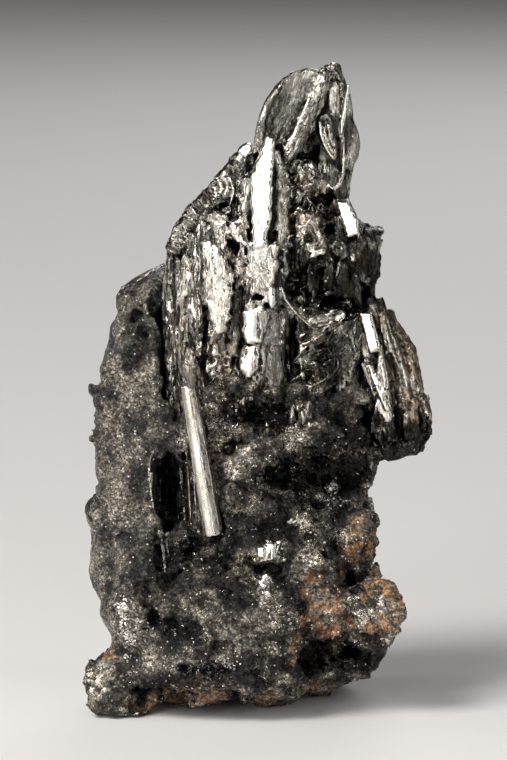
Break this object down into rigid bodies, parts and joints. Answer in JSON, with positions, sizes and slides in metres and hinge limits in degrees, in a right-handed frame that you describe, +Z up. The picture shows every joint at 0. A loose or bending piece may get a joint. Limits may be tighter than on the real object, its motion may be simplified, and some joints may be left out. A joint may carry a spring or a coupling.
{
  "type": "cylindrite specimen",
  "caption": "Upright hand specimen of cylindrite: bundles of rolled, metallic rod-like crystals standing on a dark, grainy sulphide matrix with rusty patches.",
  "frame": {"origin": "centre of the bounding box, on the level patches that the specimen stands on", "axes": "+Z up from the foot to the summit, +X to the right across the broad front face, +Y to the back"},
  "size_m": [0.0354, 0.0214, 0.0647],
  "materials": {
    "matrix": "dark grey granular sulphide ore with fine metallic sparkle and rusty patches",
    "crystal": "lead-grey metallic, striated along the rods, broken and crumpled in places",
    "polished_crystal": "smooth bright lead-grey metal, lightly striated along its length"
  },
  "bodies": {
    "root": {"matrix": "matrix", "main_crystal_bundle": "crystal", "side_crystal_bundle": "crystal", "lone_crystal": "polished_crystal"}
  },
  "joints": []
}
